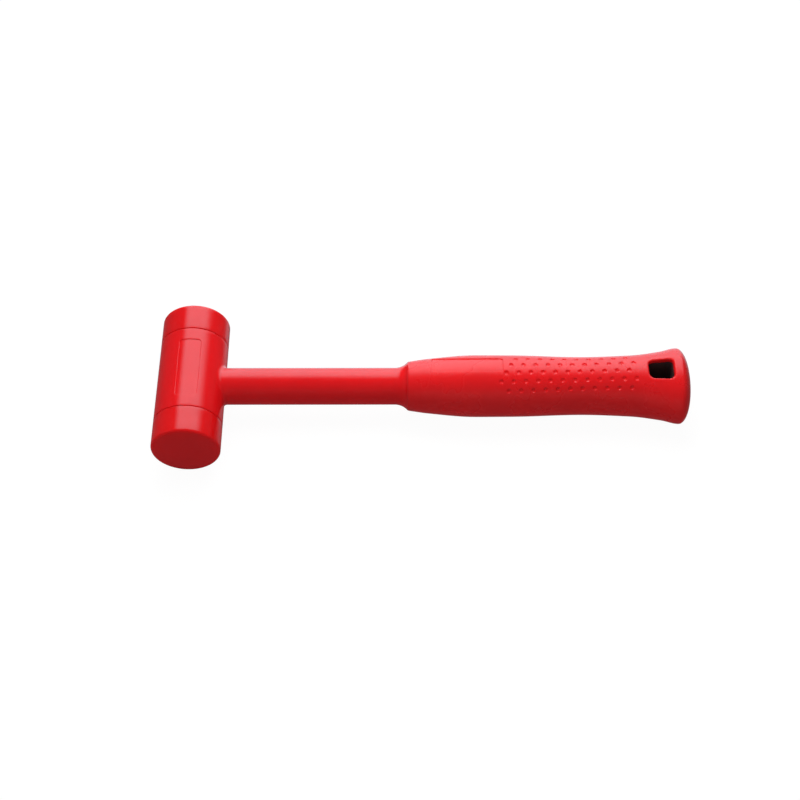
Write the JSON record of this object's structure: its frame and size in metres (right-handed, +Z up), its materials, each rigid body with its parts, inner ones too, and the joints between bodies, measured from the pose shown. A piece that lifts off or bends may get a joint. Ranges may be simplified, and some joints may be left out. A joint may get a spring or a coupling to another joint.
{
  "type": "insulated hammer",
  "caption": "Soft-faced insulated hammer with screwed striking caps, a covered steel head, a dimpled hand grip and a hanging hole.",
  "frame": {"origin": "centre of the bounding box's underside, with the hammer lying on its side", "axes": "+X from the head to the butt along the handle, +Y along the head towards the back cap, +Z up out of the side with the sunk panels"},
  "size_m": [0.2736, 0.0808, 0.035],
  "materials": {
    "steel": "turned steel",
    "glass_fibre": "drawn glass fibre rod",
    "black_nylon": "moulded black nylon",
    "red_insulation": "satin moulded red insulation",
    "red_nylon": "satin red nylon",
    "seal_rubber": "matt rubber"
  },
  "bodies": {
    "hammer": {"head_core": "steel", "handle_pin": "steel", "handle_rod": "glass_fibre", "handle_core": "black_nylon", "insulation_cover": "red_insulation", "grip": "red_insulation"},
    "front_washer": {"front_seal": "seal_rubber"},
    "front_face": {"front_cap": "red_nylon"},
    "back_washer": {"back_seal": "seal_rubber"},
    "back_face": {"back_cap": "red_nylon"}
  },
  "joints": [
    {"name": "front_cap_travel", "type": "slide", "parent": "hammer", "child": "front_washer", "axis": [0, -1, 0], "range_m": [0, 0.012]},
    {"name": "front_cap_turn", "type": "hinge", "parent": "front_washer", "child": "front_face", "pos_m": [-0.11935, -0.03, 0.0175], "axis": [0, -1, 0], "range_deg": [0, 1440]},
    {"name": "back_cap_travel", "type": "slide", "parent": "hammer", "child": "back_washer", "axis": [0, 1, 0], "range_m": [0, 0.012]},
    {"name": "back_cap_turn", "type": "hinge", "parent": "back_washer", "child": "back_face", "pos_m": [-0.11935, 0.03, 0.0175], "axis": [0, 1, 0], "range_deg": [0, 1440]}
  ],
  "couplings": [
    {"joint": "front_cap_turn", "follows": "front_cap_travel", "rad_per_m": 2094},
    {"joint": "back_cap_turn", "follows": "back_cap_travel", "rad_per_m": 2094}
  ]
}
